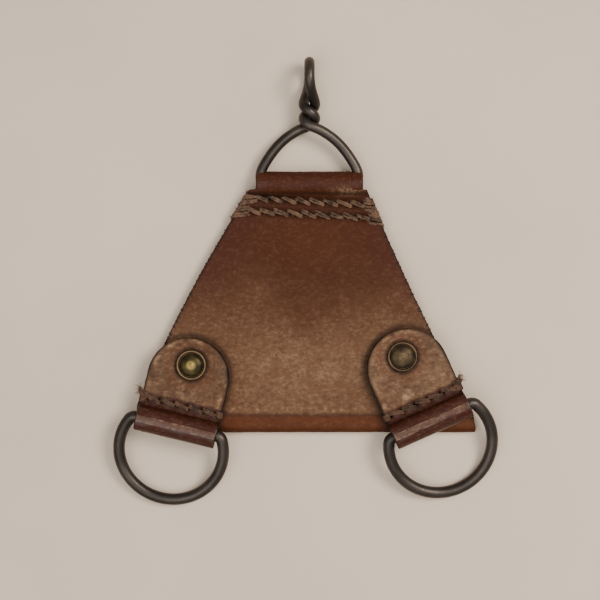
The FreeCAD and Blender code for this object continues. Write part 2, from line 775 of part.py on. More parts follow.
def make_hanger():
    """One closed wire: half of it runs from the bar's middle to the eye's top, and the other half is the same
    shape turned half round."""
    start = Vector(s.hanger_half.number, 0, 0)
    radius = s.hanger_wire.number / 2
    curve = Part.BSplineCurve()
    curve.interpolate(
        Points=[start] + arm_points() + twist_points() + eye_points(),
        InitialTangent=Vector(1, 0, 0), FinalTangent=Vector(0, 0, -1), Scale=False,
    )
    arm = bent_wire(curve, HANGER_PIECES, radius)
    other = arm.copy()
    other.rotate(Vector(), Vector(0, 1, 0), 180)
    bar = Part.makeCylinder(radius, start.x * 2, -start, Vector(1, 0, 0))
    joined = arm.fuse([other, bar])
    wire = doc.addObject("Part::Feature", "hanger_wire")
    wire.Label = "hanger_wire"
    wire.Shape = joined.Solids[0] if len(joined.Solids) == 1 else joined
    at = Vector(s.top_centre.number, HANGER_Y.number, HANGER_ROLL.number)
    wire.Placement = Placement(at, Rotation(Vector(1, 0, 0), s.hanger_tilt.number))
    return wire


# ---- build, check and write --------------------------------------------------------------------------------

def build():
    made = [make_panel(), make_hanger()]
    for side in SIDES:
        made += [make_tab(side), make_ring(side), make_rivet(side), make_cup_washer(side)]
        made += [make_burr(side), make_tab_row(side)]
    made += make_panel_rows()
    made += make_side_seams()
    return made


def write(nodes):
    doc.recompute()
    failed = [o.Name for o in doc.Objects if {"Invalid", "Error"} & set(o.State)]
    if failed:
        raise ValueError(f"these objects failed: {failed}")
    os.makedirs("parts", exist_ok=True)
    for node in nodes:
        shape = node.Shape
        if shape.isNull() or not shape.isValid() or not shape.Solids:
            raise ValueError(f"{node.Label} has no valid solid")
        box = shape.BoundBox
        print(f"{node.Label:20s} solids {len(shape.Solids):3d} volume {shape.Volume:9.1f}"
              f"  x {box.XMin:7.2f} {box.XMax:7.2f}  y {box.YMin:7.2f} {box.YMax:7.2f}"
              f"  z {box.ZMin:6.2f} {box.ZMax:6.2f}")
        shape.exportStep(f"parts/{node.Label}.step")


write(build())
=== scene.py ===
import json
import math
import random

import bmesh
import bpy
import numpy as np
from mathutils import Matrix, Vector, noise


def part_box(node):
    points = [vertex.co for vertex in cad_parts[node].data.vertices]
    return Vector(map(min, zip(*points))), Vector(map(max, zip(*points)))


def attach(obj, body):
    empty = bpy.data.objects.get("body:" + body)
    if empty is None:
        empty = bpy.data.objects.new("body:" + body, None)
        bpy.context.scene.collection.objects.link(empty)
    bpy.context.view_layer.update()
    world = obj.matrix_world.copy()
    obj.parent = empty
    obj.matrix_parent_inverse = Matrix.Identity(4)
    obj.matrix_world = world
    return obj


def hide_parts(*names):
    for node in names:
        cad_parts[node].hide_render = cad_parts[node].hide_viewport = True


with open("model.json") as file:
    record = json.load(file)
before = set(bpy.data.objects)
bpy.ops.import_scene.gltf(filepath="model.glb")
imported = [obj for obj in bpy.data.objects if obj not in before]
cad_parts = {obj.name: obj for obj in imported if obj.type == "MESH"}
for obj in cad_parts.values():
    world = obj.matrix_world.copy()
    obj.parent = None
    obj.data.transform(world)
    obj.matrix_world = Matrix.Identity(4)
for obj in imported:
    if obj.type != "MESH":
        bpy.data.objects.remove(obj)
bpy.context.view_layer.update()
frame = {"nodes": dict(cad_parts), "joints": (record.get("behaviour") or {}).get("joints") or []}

MM = 0.001
rng = random.Random(7)
joints = {joint["name"]: joint for joint in frame["joints"]}

# Sizes taken from the CAD part, in metres, and one angle in radians.
PANEL_THICK = 4.4 * MM
LAYER_LINE = 2.2 * MM
TAB_TOP = 8.12 * MM
TAB_LAYER_LINE = 5.85 * MM
TAB_HALF_WIDTH = 12.6 * MM
TAB_END_RADIUS = 12.2 * MM
TAB_PAST_RIVET = 8.2 * MM
ROW_TURN = math.radians(-3.5)
ROW_PITCH = 4.3 * MM
TAB_ROW_Y = 6.4 * MM
TAB_PITCH = 4.4 * MM
TAB_STITCHES = 5
# Whole stitches in each panel row.
ROWS = {"upper_stitch_row": 8, "lower_stitch_row": 9}
# Which way along the ring's bar the panel's middle lies, seen from each tab.
SIDES = {"left": 1, "right": -1}

# The top roll's sizes, and those of the roll ends that the picture adds to it, in millimetres.
TOP_ROLL_HALF_WIDTH = 13.0
TOP_ROLL_RADIUS = 3.8
ROLL_END_BORE = 1.72
ROLL_END_REACH = 3.5
ROLL_END_OVERLAP = 0.5

# The picture's rivets, cup washers and burrs, in millimetres. The cup's floor is above the washer's foot,
# the head's heights are above that floor, and the burr's heights are above the panel's back.
HEAD_RADIUS = 3.55
HEAD_HEIGHT = 1.5
HEAD_EDGE = 0.25
CUP_FLOOR = 0.48
SHANK_RADIUS = 1.6
BRASS_BORE = 1.62
BURR_RADIUS = 4.2
BURR_BACK = 0.57
BURR_FRONT = 1.23

# The sewing in the picture. Edge wraps are at each end of a panel row and at the outer edge of a tab.
THREAD_SUNK = 0.5 * MM
EDGE_WRAPS = 5
SEAM_STITCHES = 22
FIBRE_RADIUS = 0.035 * MM


def linear(red, green, blue):
    """A colour given as 0-255 screen values, in the linear values that shaders use."""
    shares = []
    for value in (red, green, blue):
        share = value / 255
        shares.append(((share + 0.055) / 1.055) ** 2.4 if value > 10 else share / 12.92)
    return tuple(shares)


# ---- material helpers ------------------------------------------------------------------------------------

class Graph:
    """A material's node tree with short ways to add and join nodes."""

    def __init__(self, name):
        self.material = bpy.data.materials.new(name)
        self.material.use_nodes = True
        self.tree = self.material.node_tree
        self.tree.nodes.clear()
        self.shader = self.add("ShaderNodeBsdfPrincipled")
        output = self.add("ShaderNodeOutputMaterial")
        self.join(self.shader.outputs[0], output.inputs[0])
        self.coords = self.add("ShaderNodeTexCoord").outputs["Object"]

    def add(self, kind, **settings):
        node = self.tree.nodes.new(kind)
        for key, value in settings.items():
            setattr(node, key, value)
        return node

    def join(self, source, target):
        self.tree.links.new(source, target)

    def put(self, socket, value):
        """Joins a socket to another one, or sets it to a plain value or a colour."""
        if isinstance(value, bpy.types.NodeSocket):
            self.join(value, socket)
        elif isinstance(value, (tuple, list)) and len(value) == 3 and socket.type == "RGBA":
            socket.default_value = (*value, 1)
        else:
            socket.default_value = value

    def stretched(self, scale):
        """Coordinates with a scale for each axis. A scale under 1 draws the texture out along its axis."""
        node = self.add("ShaderNodeMapping")
        self.put(node.inputs["Vector"], self.coords)
        node.inputs["Scale"].default_value = scale
        return node.outputs[0]

    def noise(self, scale, detail=4.0, rough=0.55, vector=None, distortion=0.0):
        node = self.add("ShaderNodeTexNoise")
        self.put(node.inputs["Vector"], vector or self.coords)
        node.inputs["Scale"].default_value = scale
        node.inputs["Detail"].default_value = detail
        node.inputs["Roughness"].default_value = rough
        node.inputs["Distortion"].default_value = distortion
        return node.outputs["Fac"]

    def cells(self, scale):
        node = self.add("ShaderNodeTexVoronoi", feature="F1")
        self.put(node.inputs["Vector"], self.coords)
        node.inputs["Scale"].default_value = scale
        return node.outputs["Distance"]

    def attribute(self, name):
        return self.add("ShaderNodeAttribute", attribute_name=name).outputs["Fac"]

    def span(self, value, low, high, to_low=0.0, to_high=1.0):
        """A smooth step from to_low to to_high while value goes from low to high."""
        node = self.add("ShaderNodeMapRange", interpolation_type="SMOOTHSTEP")
        self.put(node.inputs["Value"], value)
        node.inputs["From Min"].default_value = low
        node.inputs["From Max"].default_value = high
        node.inputs["To Min"].default_value = to_low
        node.inputs["To Max"].default_value = to_high
        return node.outputs["Result"]

    def math(self, operation, a, b=0.0):
        node = self.add("ShaderNodeMath", operation=operation, use_clamp=operation != "SUBTRACT")
        self.put(node.inputs[0], a)
        self.put(node.inputs[1], b)
        return node.outputs[0]

    def mix(self, share, a, b):
        node = self.add("ShaderNodeMix", data_type="RGBA", blend_type="MIX")
        self.put(node.inputs["Factor"], share)
        colours = [socket for socket in node.inputs if socket.type == "RGBA"]
        self.put(colours[0], a)
        self.put(colours[1], b)
        return next(socket for socket in node.outputs if socket.type == "RGBA")

    def bump(self, height, distance, strength=1.0, below=None):
        node = self.add("ShaderNodeBump")
        node.inputs["Strength"].default_value = strength
        node.inputs["Distance"].default_value = distance
        self.put(node.inputs["Height"], height)
        if below is not None:
            self.put(node.inputs["Normal"], below)
        return node.outputs[0]

    def finish(self, **sockets):
        for name, value in sockets.items():
            self.put(self.shader.inputs[name.replace("_", " ")], value)
        return self.material


def leather(name, deep, warm, worn, pale, edge, maroon):
    """Old harness leather. The mesh says how worn, warm, red, rubbed and glossy each place is, and how
    much of the dark edge colour it has. The worn and rubbed values also carry painted highlights on the
    tabs, and the dark edge value also carries painted shade."""
    g = Graph(name)
    wear, heat, cut, gloss = (g.attribute(word) for word in ("wear", "warm", "cut", "gloss"))
    red, rubbed = g.attribute("red"), g.attribute("rubbed")
    cloud = g.noise(60, 6, 0.62, distortion=0.5)
    blotch = g.noise(260, 5, 0.65, g.stretched((0.7, 1.0, 1.0)))
    streak = g.noise(1050, 5, 0.75, g.stretched((0.7, 1.0, 1.0)))
    mottle = g.noise(430, 6, 0.72, g.stretched((0.75, 1.0, 1.0)))
    grain = g.noise(1700, 4, 0.6)
    pores = g.cells(1500)
    uneven = g.math("ADD", g.math("MULTIPLY", cloud, 0.55), g.math("MULTIPLY", blotch, 0.35))
    worn_share = g.span(g.math("ADD", wear, g.math("SUBTRACT", uneven, 0.45)), 0.0, 1.05)
    # On the tabs the wear value also holds a painted highlight between the stitches.
    colour = g.mix(worn_share, deep, worn)
    colour = g.mix(g.math("MULTIPLY", heat, g.span(cloud, 0.25, 0.75, 0.7, 1.0)), colour, warm)
    colour = g.mix(g.math("MULTIPLY", red, g.span(blotch, 0.3, 0.7, 0.6, 1.0)), colour, maroon)
    colour = g.mix(g.span(mottle, 0.46, 0.7, 0.0, 0.55), colour, deep)
    speckle = g.math("MULTIPLY", g.span(streak, 0.46, 0.68), g.span(worn_share, 0.15, 1.0, 0.1, 0.34))
    colour = g.mix(speckle, colour, pale)
    # The rubbed value also holds the painted highlight lines along the tab rolls.
    colour = g.mix(g.math("MULTIPLY", rubbed, g.span(streak, 0.4, 0.6, 0.2, 1.0)), colour, pale)
    colour = g.mix(g.span(g.noise(2100, 3, 0.7), 0.56, 0.76, 0.0, 0.4), colour, edge)
    # The dark edge value is real dark edges plus painted shade round the tabs, on the fold's underside, along
    # the panel's shadow line and in the rivet cups.
    colour = g.mix(cut, colour, edge)
    height = g.math("ADD", g.math("MULTIPLY", grain, 0.5), g.math("MULTIPLY", pores, 0.35))
    creases = g.noise(190, 6, 0.66, g.stretched((0.5, 1.2, 1.0)), 1.0)
    normal = g.bump(creases, 0.3 * MM, 0.4)
    normal = g.bump(height, 0.09 * MM, 0.55, normal)
    coarse = g.math("ADD", g.math("MULTIPLY", grain, 0.5), g.math("MULTIPLY", streak, 0.5))
    rough = g.span(coarse, 0.3, 0.7, 0.6, 0.8)
    rough = g.math("SUBTRACT", rough, g.math("MULTIPLY", gloss, 0.26))
    return g.finish(Base_Color=colour, Roughness=rough, Normal=normal, Specular_IOR_Level=0.12,
                    Coat_Weight=g.math("MULTIPLY", g.span(gloss, 0.2, 1.0), 0.28), Coat_Roughness=0.12)


def metal(name, dark, base, bright, roughness, wear_scale, metallic, relief=0.4):
    """Old metal with a dark skin that is rubbed through in places; on the rivet heads and cup rims the
    bright places are also a painted highlight.
    """
    g = Graph(name)
    patches = g.noise(wear_scale, 4, 0.5)
    fine = g.noise(2400, 4, 0.65)
    rub = g.attribute("rub")
    colour = g.mix(g.span(patches, 0.3, 0.7), dark, base)
    colour = g.mix(g.span(g.noise(700, 5, 0.7), 0.56, 0.76, 0.0, 0.5), colour, dark)
    share = g.math("ADD", rub, g.span(fine, 0.62, 0.8, 0.0, 0.2))
    colour = g.mix(share, colour, bright)
    rough = g.span(fine, 0.25, 0.75, roughness - 0.08, roughness + 0.12)
    height = g.math("ADD", g.math("MULTIPLY", patches, 0.5), g.math("MULTIPLY", fine, 0.4))
    normal = g.bump(height, 0.1 * MM, relief)
    return g.finish(Base_Color=colour, Metallic=metallic, Roughness=rough, Normal=normal)


def waxed_thread(name, dark, base, pale):
    """Waxed linen thread with a fine fibre texture, patches of dirt, and paler fibres where the mesh says."""
    g = Graph(name)
    fibre = g.noise(4200, 4, 0.7)
    dirt = g.noise(420, 4, 0.65)
    colour = g.mix(g.span(dirt, 0.35, 0.62), dark, base)
    colour = g.mix(g.math("MULTIPLY", g.span(fibre, 0.48, 0.7), g.attribute("pale")), colour, pale)
    normal = g.bump(fibre, 0.12 * MM, 0.7)
    return g.finish(Base_Color=colour, Roughness=0.8, Normal=normal, Specular_IOR_Level=0.25)


PANEL_LEATHER = leather(
    "panel_leather_worn", deep=linear(58, 25, 6), warm=linear(78, 36, 8), worn=linear(92, 63, 42),
    pale=linear(136, 108, 82), edge=linear(22, 14, 10), maroon=linear(58, 23, 15),
)
TAB_LEATHER = leather(
    "tab_leather_worn", deep=linear(44, 22, 13), warm=linear(80, 44, 24), worn=linear(97, 70, 49),
    pale=linear(150, 119, 90), edge=linear(15, 10, 7), maroon=linear(54, 18, 7),
)
WIRE_STEEL = metal(
    "wire_steel_dark", dark=linear(50, 44, 40), base=linear(72, 64, 57), bright=linear(116, 106, 95),
    roughness=0.4, wear_scale=90, metallic=0.85, relief=0.25,
)
RIVET_BRASS = metal(
    "rivet_brass_old", dark=linear(40, 33, 20), base=linear(70, 59, 33), bright=linear(146, 124, 66),
    roughness=0.4, wear_scale=420, metallic=0.9,
)
DULL_BRASS = metal(
    "rivet_brass_dull", dark=linear(44, 34, 23), base=linear(74, 59, 38), bright=linear(124, 102, 66),
    roughness=0.5, wear_scale=420, metallic=0.8,
)
WASHER_BRASS = metal(
    "washer_brass_dark", dark=linear(44, 33, 24), base=linear(76, 58, 40), bright=linear(142, 116, 80),
    roughness=0.46, wear_scale=420, metallic=0.8,
)
ROW_THREAD = waxed_thread(
    "row_thread_waxed", dark=linear(46, 32, 22), base=linear(99, 73, 54), pale=linear(138, 114, 90),
)
TAB_THREAD = waxed_thread(
    "tab_thread_waxed", dark=linear(40, 27, 19), base=linear(84, 58, 42), pale=linear(118, 92, 70),
)
SEAM_THREAD = waxed_thread(
    "seam_thread_dark", dark=linear(30, 22, 18), base=linear(52, 38, 30), pale=linear(96, 76, 60),
)


# ---- mesh helpers ----------------------------------------------------------------------------------------

def new_object(name, mesh, material, body, replaced=()):
    """Puts a mesh in the scene with its material, riding on a body in place of the CAD nodes it replaces."""
    thing = bpy.data.objects.new(name, mesh)
    bpy.context.scene.collection.objects.link(thing)
    mesh.materials.clear()
    mesh.materials.append(material)
    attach(thing, body)
    if replaced:
        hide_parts(*replaced)


def softened(node, voxel, rounds):
    """The CAD node's own shape as an even mesh with its edges rounded over, ready for the dents of use."""
    source = frame["nodes"][node]
    thing = bpy.data.objects.new("softening", source.data.copy())
    bpy.context.scene.collection.objects.link(thing)
    weld = thing.modifiers.new("weld", "WELD")
    weld.merge_threshold = 1e-6
    remesh = thing.modifiers.new("remesh", "REMESH")
    remesh.mode = "VOXEL"
    remesh.voxel_size = voxel
    smooth = thing.modifiers.new("smooth", "SMOOTH")
    smooth.factor = 0.5
    smooth.iterations = rounds
    bpy.context.view_layer.update()
    graph = bpy.context.evaluated_depsgraph_get()
    mesh = bpy.data.meshes.new_from_object(thing.evaluated_get(graph))
    bpy.data.objects.remove(thing)
    for attribute in [a for a in mesh.attributes if a.name.startswith("custom_normal")]:
        mesh.attributes.remove(attribute)
    mesh.shade_smooth()
    return mesh


def read(mesh):
    """The mesh's points and normals, a row for each vertex."""
    points = np.empty(len(mesh.vertices) * 3, np.float32)
    mesh.vertices.foreach_get("co", points)
    normals = np.empty(len(mesh.vertices) * 3, np.float32)
    mesh.vertex_normals.foreach_get("vector", normals)
    return points.reshape(-1, 3).astype(float), normals.reshape(-1, 3).astype(float)


def write(mesh, points):
    mesh.vertices.foreach_set("co", points.astype(np.float32).ravel())
    mesh.update()


def set_values(mesh, name, values):
    """Stores one number per vertex, which the materials read by name."""
    attribute = mesh.attributes.get(name) or mesh.attributes.new(name, "FLOAT", "POINT")
    attribute.data.foreach_set("value", np.broadcast_to(values, len(mesh.vertices)).astype(np.float32))


def rise(values, low, high):
    """A smooth step from 0 at low to 1 at high."""
    share = np.clip((values - low) / (high - low), 0, 1)
    return share * share * (3 - 2 * share)


def bell(values, middle, width, power=2):
    """1 at the middle and falling away on both sides; a higher power gives a flatter top."""
    return np.exp(-((values - middle) / width) ** power)


def patch(x, y, middle, size):
    """An oval bell round a middle, with both given in millimetres."""
    across, upward = (x - middle[0] * MM) / (size[0] * MM), (y - middle[1] * MM) / (size[1] * MM)
    return np.exp(-(across ** 2 + upward ** 2))


def waves(points, size, seed=0.0):
    """Smooth random heights from about -1 to 1 with features of the given size."""
    return np.array([noise.noise(Vector(p) / size + Vector((seed, seed * 2, 3.1))) for p in points])


def tab_frame(side):
    """The tab's own frame: x along the ring's bar, y towards the rivet, z out of the front."""
    joint = joints[f"{side}_ring_swing"]
    along = Vector(joint["axis"]).normalized()
    up = Vector((0, 0, 1))
    return Vector(joint["pos_m"]), along, up.cross(along), up


def centre_of(node):
    low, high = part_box(node)
    return (low + high) / 2


# ---- thread ----------------------------------------------------------------------------------------------

def smooth_path(points, step):
    """A rounded line through the points, cut into even steps."""
    out = []
    padded = [points[0] * 2 - points[1]] + points + [points[-1] * 2 - points[-2]]
    for i in range(1, len(padded) - 2):
        a, b, c, d = padded[i - 1:i + 3]
        count = max(2, round((c - b).length / step))
        for k in range(count):
            t = k / count
            out.append(0.5 * (b * 2 + (c - a) * t + (a * 2 - b * 5 + c * 4 - d) * t * t
                              + (b * 3 - a - c * 3 + d) * t * t * t))
    return out + [points[-1]]


class Skein:
    """Collects round strands and turns them into one mesh."""

    def __init__(self):
        self.points = []
        self.faces = []
        self.pale = []

    def strand(self, path, radius, sides=8, pale=0.5):
        """One closed round strand along path. radius is a number or one number per point."""
        start = len(self.points)
        upright = Vector((0, 0, 1))
        for i, p in enumerate(path):
            along = (path[min(i + 1, len(path) - 1)] - path[max(i - 1, 0)]).normalized()
            if abs(along.dot(upright)) > 0.999:
                upright = Vector((0.3, 1, 0)).normalized()
            upright = (upright - along * along.dot(upright)).normalized()
            across = along.cross(upright)
            size = radius[i] if isinstance(radius, list) else radius
            for k in range(sides):
                turn = math.tau * k / sides
                self.points.append(p + (upright * math.cos(turn) + across * math.sin(turn)) * size)
                self.pale.append(pale)
        for i in range(len(path) - 1):
            for k in range(sides):
                a, b = start + i * sides + k, start + i * sides + (k + 1) % sides
                self.faces.append((a, b, b + sides, a + sides))
        last = start + (len(path) - 1) * sides
        self.faces.append(tuple(reversed(range(start, start + sides))))
        self.faces.append(tuple(range(last, last + sides)))

    def cord(self, points, radius, lay, plies=3, pale=0.5, taper=0.25, flat=0.8):
        """A twisted cord through points, thinner at both ends where it dives into the leather."""
        path = smooth_path(points, 0.28 * MM)
        phase = rng.random() * math.tau
        lengths = [0.0]
        for a, b in zip(path, path[1:]):
            lengths.append(lengths[-1] + (b - a).length)
        upright = Vector((0, 0, 1))
        offsets = [[] for _ in range(plies)]
        sizes = []
        for i, p in enumerate(path):
            along = (path[min(i + 1, len(path) - 1)] - path[max(i - 1, 0)]).normalized()
            upright = upright - along * along.dot(upright)
            upright = upright.normalized() if upright.length > 1e-3 else along.orthogonal().normalized()
            across = along.cross(upright)
            share = lengths[i] / lengths[-1]
            swell = taper + (1 - taper) * min(1.0, math.sin(math.pi * share) * 1.7 + 0.05)
            sizes.append(radius * 0.56 * swell)
            for k in range(plies):
                turn = phase + math.tau * (lengths[i] / lay + k / plies)
                shift = upright * math.cos(turn) * flat + across * math.sin(turn)
                offsets[k].append(p + shift * radius * 0.52 * swell)
        for line in offsets:
            self.strand(line, sizes, 8, pale)

    def fuzz(self, centre, spread, length, count, pale=0.8, lift=0.4):
        """Loose fibres that stand out of the thread."""
        for _ in range(count):
            start = centre + Vector(rng.uniform(-spread[i], spread[i]) for i in range(3))
            way = Vector((rng.gauss(0, 1), rng.gauss(0, 1), abs(rng.gauss(0, lift)))).normalized()
            bend = Vector((rng.gauss(0, 1), rng.gauss(0, 1), rng.gauss(0, lift))) * length * 0.3
            tip = start + way * length * rng.uniform(0.5, 1.2)
            path = smooth_path([start, (start + tip) / 2 + bend, tip], length / 5)
            self.strand(path, FIBRE_RADIUS, 4, pale)

    def mesh(self, name):
        mesh = bpy.data.meshes.new(name)
        mesh.from_pydata([tuple(p) for p in self.points], [], self.faces)
        mesh.shade_smooth()
        set_values(mesh, "pale", np.array(self.pale))
        mesh.update()
        return mesh


# ---- leather ---------------------------------------------------------------------------------------------

PANEL_EDGES = {}


def edge_table(sign):
    """Heights, and the panel's side edge at each of them, read from its solid. sign is -1 on the left
    and 1 on the right."""
    if sign not in PANEL_EDGES:
        mesh = frame["nodes"]["body_panel"].data
        corners = np.array([v.co for v in mesh.vertices])
        pairs = np.array([e.vertices for e in mesh.edges])
        a, b = corners[pairs[:, 0]], corners[pairs[:, 1]]
        low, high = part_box("body_panel")
        heights = np.linspace(low.y + 0.2 * MM, high.y - 0.2 * MM, 240)
        edge = []
        for y in heights:
            crossing = (a[:, 1] - y) * (b[:, 1] - y) < 0
            p, q = a[crossing], b[crossing]
            share = (y - p[:, 1]) / (q[:, 1] - p[:, 1])
            edge.append(np.max((p[:, 0] + (q[:, 0] - p[:, 0]) * share) * sign))
        PANEL_EDGES[sign] = (heights, np.array(edge))
    return PANEL_EDGES[sign]


def edge_x(y, sign):
    """Where the panel's side edge lies at height y."""
    return float(np.interp(y, *edge_table(sign))) * sign


def row_line(node):
    """A stitch row's middle and its direction, from the row's own solid."""
    middle = centre_of(node)
    return Vector((middle.x, middle.y, 0)), Vector((math.cos(ROW_TURN), math.sin(ROW_TURN), 0))


def tab_distance(name, points):
    """How far each point lies outside the outline of the tab, seen from the front."""
    origin, along, out, _ = tab_frame(name)
    local = points[:, :2] - np.array(origin.xy)
    rivet = centre_of(f"{name}_rivet")
    end = (rivet.xy - origin.xy).dot(out.xy) + TAB_PAST_RIVET - TAB_END_RADIUS
    across, upward = local @ np.array(along.xy), local @ np.array(out.xy)
    return np.hypot(across, np.maximum(upward - end, 0)) - TAB_HALF_WIDTH


def make_panel():
    """The folded panel, with sunk stitch rows, leather pressed under the tabs, rough cut edges and wear,
    and painted shade round the tabs and on the fold's underside.
    """
    mesh = softened("body_panel", 0.32 * MM, 6)
    points, normals = read(mesh)
    x, y, z = points.T
    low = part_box("body_panel")[0]
    front = rise(normals[:, 2], 0.2, 0.8)
    side = 1 - rise(np.abs(normals[:, 2]), 0.35, 0.8)

    swell = waves(points, 17 * MM, 1.3) * 0.22 + waves(points, 5 * MM, 4.2) * 0.08
    push = swell * (front + 0.3 * side) * MM
    for node in ROWS:
        middle, along = row_line(node)
        off = (x - middle.x) * -along.y + (y - middle.y) * along.x
        push -= 0.55 * MM * bell(off, 0, 1.2 * MM) * front * (z < 5 * MM)
        push += 0.1 * MM * bell(np.abs(off), 2.1 * MM, 0.7 * MM) * front * (z < 5 * MM)
    painted_tab_shade = np.zeros(len(points))
    for name in SIDES:
        distance = tab_distance(name, points)
        push -= 0.12 * MM * rise(-distance, -0.6 * MM, 1.2 * MM) * front
        # Painted shade on the panel hugging each tab's outline.
        painted_tab_shade += bell(distance, 0.3 * MM, 0.9 * MM) * front
    seam = bell(z, LAYER_LINE, 0.35 * MM) * side * (y > low.y + 3 * MM) * (y < 33 * MM)
    push -= 0.4 * MM * seam
    push += waves(points, 1.6 * MM, 9.0) * 0.08 * MM * side
    points += normals * push[:, None]
    worn_corner = rise(-x, 46 * MM, 54 * MM) * rise(-y, 30 * MM, 40 * MM)
    points[:, 0] += 3.0 * MM * worn_corner
    points[:, 2] = np.maximum(points[:, 2], 0.0)
    write(mesh, points)

    # x, y and z follow the moved points from here on.
    above_foot = y - low.y
    fold = rise(-above_foot, -6.6 * MM, -4.6 * MM)
    fold_rim = bell(above_foot, 7.3 * MM, 0.8 * MM) * front
    low_patch = patch(x, y, (-1, -21), (20, 9))
    spine = bell(x, 3 * MM, 13 * MM) * rise(y, -26 * MM, -6 * MM)
    wear = 0.88 * rise(-y, -30 * MM, 24 * MM) - 0.16 * spine + 0.22 * low_patch
    wear = wear + waves(points, 10 * MM, 2.0) * 0.1
    set_values(mesh, "wear", np.clip(wear * (1 - 0.7 * fold), 0, 1))

    near_left = rise(-x, 14 * MM, 30 * MM) * rise(-y, 12 * MM, 26 * MM)
    under_rows = patch(x, y, (2, 19), (16, 8))
    set_values(mesh, "warm", np.clip(0.9 * fold + 0.45 * near_left + 0.3 * under_rows, 0, 1))

    half_width = 40 * MM - y * 0.46
    side_share = np.abs(x - 1.5 * MM) / half_width
    upper_sides = rise(side_share, 0.45, 0.9) * rise(y, -12 * MM, 12 * MM) * rise(-y, -40 * MM, -30 * MM)
    set_values(mesh, "red", np.clip(0.85 * upper_sides + 0.5 * rise(y, 33 * MM, 36 * MM), 0, 1))

    polished = patch(x, y, (14, 34.3), (4.5, 1.2))
    rubbed = 0.6 * polished * front + 0.6 * fold_rim * rise(waves(points, 1.5 * MM, 4.0), -0.1, 0.5)
    rubbed += 0.38 * low_patch * rise(waves(points, 5 * MM, 14.0), -0.4, 0.5) * front
    set_values(mesh, "rubbed", np.clip(rubbed, 0, 1))

    rim = np.zeros(len(points))
    for sign in (-1, 1):
        edge = np.interp(y, *edge_table(sign))
        rim += bell(edge, x * sign, 0.55 * MM) * front * (above_foot > 5 * MM) * (y < 34 * MM)
    shadow_line = bell(above_foot, 5.6 * MM, 0.6 * MM) * 0.35 * front
    # Real dark sides, seam and burnished rims, plus painted shade along the shadow line and round the tabs.
    cut = side * (above_foot > 2.4 * MM) * (y < 35 * MM) * 0.9
    cut = cut + seam * 0.3 + shadow_line + 0.5 * painted_tab_shade + 0.75 * rim
    stitch_band = rise(y, 24.5 * MM, 27.5 * MM) * rise(-y, -35 * MM, -32 * MM)
    # The stitch band is darker leather; the last term is painted shade on the fold's underside, darker
    # towards the bottom edge.
    cut += stitch_band * (0.2 - 0.18 * polished) + 0.25 * rise(-above_foot, -3.0 * MM, -0.6 * MM)
    set_values(mesh, "cut", np.clip(cut, 0, 1))
    set_values(mesh, "gloss", np.clip(0.12 + 0.25 * rise(y, 32 * MM, 36 * MM) + 0.2 * fold, 0, 1))
    new_object("panel_leather", mesh, PANEL_LEATHER, "yoke", ["body_panel"])


def dense_loop(profile, step):
    """A closed profile with its long sides cut into steps, without repeating its first point."""
    line = [profile[0]]
    for before, after in zip(profile, profile[1:]):
        steps = max(1, round(math.dist(before, after) / step))
        for k in range(1, steps + 1):
            line.append((before[0] + (after[0] - before[0]) * k / steps,
                         before[1] + (after[1] - before[1]) * k / steps))
    return line[:-1]


def make_roll_end(name, sign):
    """The end of the top roll, which hugs the hanger's bend and turns with it about the roll's own axis."""
    pivot = Vector(joints["hanger_swing"]["pos_m"])
    inner = TOP_ROLL_HALF_WIDTH - ROLL_END_OVERLAP
    outer = TOP_ROLL_HALF_WIDTH + ROLL_END_REACH
    profile = [
        (inner, ROLL_END_BORE),
        (inner, TOP_ROLL_RADIUS - 0.12),
        (inner + 0.8, TOP_ROLL_RADIUS - 0.02),
        (outer - 0.4, TOP_ROLL_RADIUS - 0.1),
        (outer, TOP_ROLL_RADIUS - 0.6),
        (outer, ROLL_END_BORE),
        (inner, ROLL_END_BORE),
    ]
    line = dense_loop(smooth_profile(profile, 0.3), 0.3)
    around = 90
    size = len(line)
    verts, faces = [], []
    for k in range(around):
        turn = math.tau * k / around
        for along, radius in line:
            verts.append((pivot.x + sign * along * MM, pivot.y + radius * math.cos(turn) * MM,
                          pivot.z + radius * math.sin(turn) * MM))
    for k in range(around):
        here, following = k * size, (k + 1) % around * size
        for i in range(size):
            onward = (i + 1) % size
            faces.append((here + i, following + i, following + onward, here + onward))
    mesh = bpy.data.meshes.new(name)
    mesh.from_pydata(verts, [], faces)
    shape = bmesh.new()
    shape.from_mesh(mesh)
    bmesh.ops.recalc_face_normals(shape, faces=shape.faces)
    shape.to_mesh(mesh)
    shape.free()
    mesh.shade_smooth()
    points, normals = read(mesh)
    end_face = rise(normals[:, 0] * sign, 0.5, 0.9)
    points += normals * (waves(points, 2.4 * MM, 6.0) * 0.07 * MM)[:, None]
    write(mesh, points)
    set_values(mesh, "wear", 0.05)
    set_values(mesh, "red", 0.5)
    set_values(mesh, "cut", end_face * 0.85)
    set_values(mesh, "gloss", 0.5)
    new_object(name, mesh, PANEL_LEATHER, "hanger")


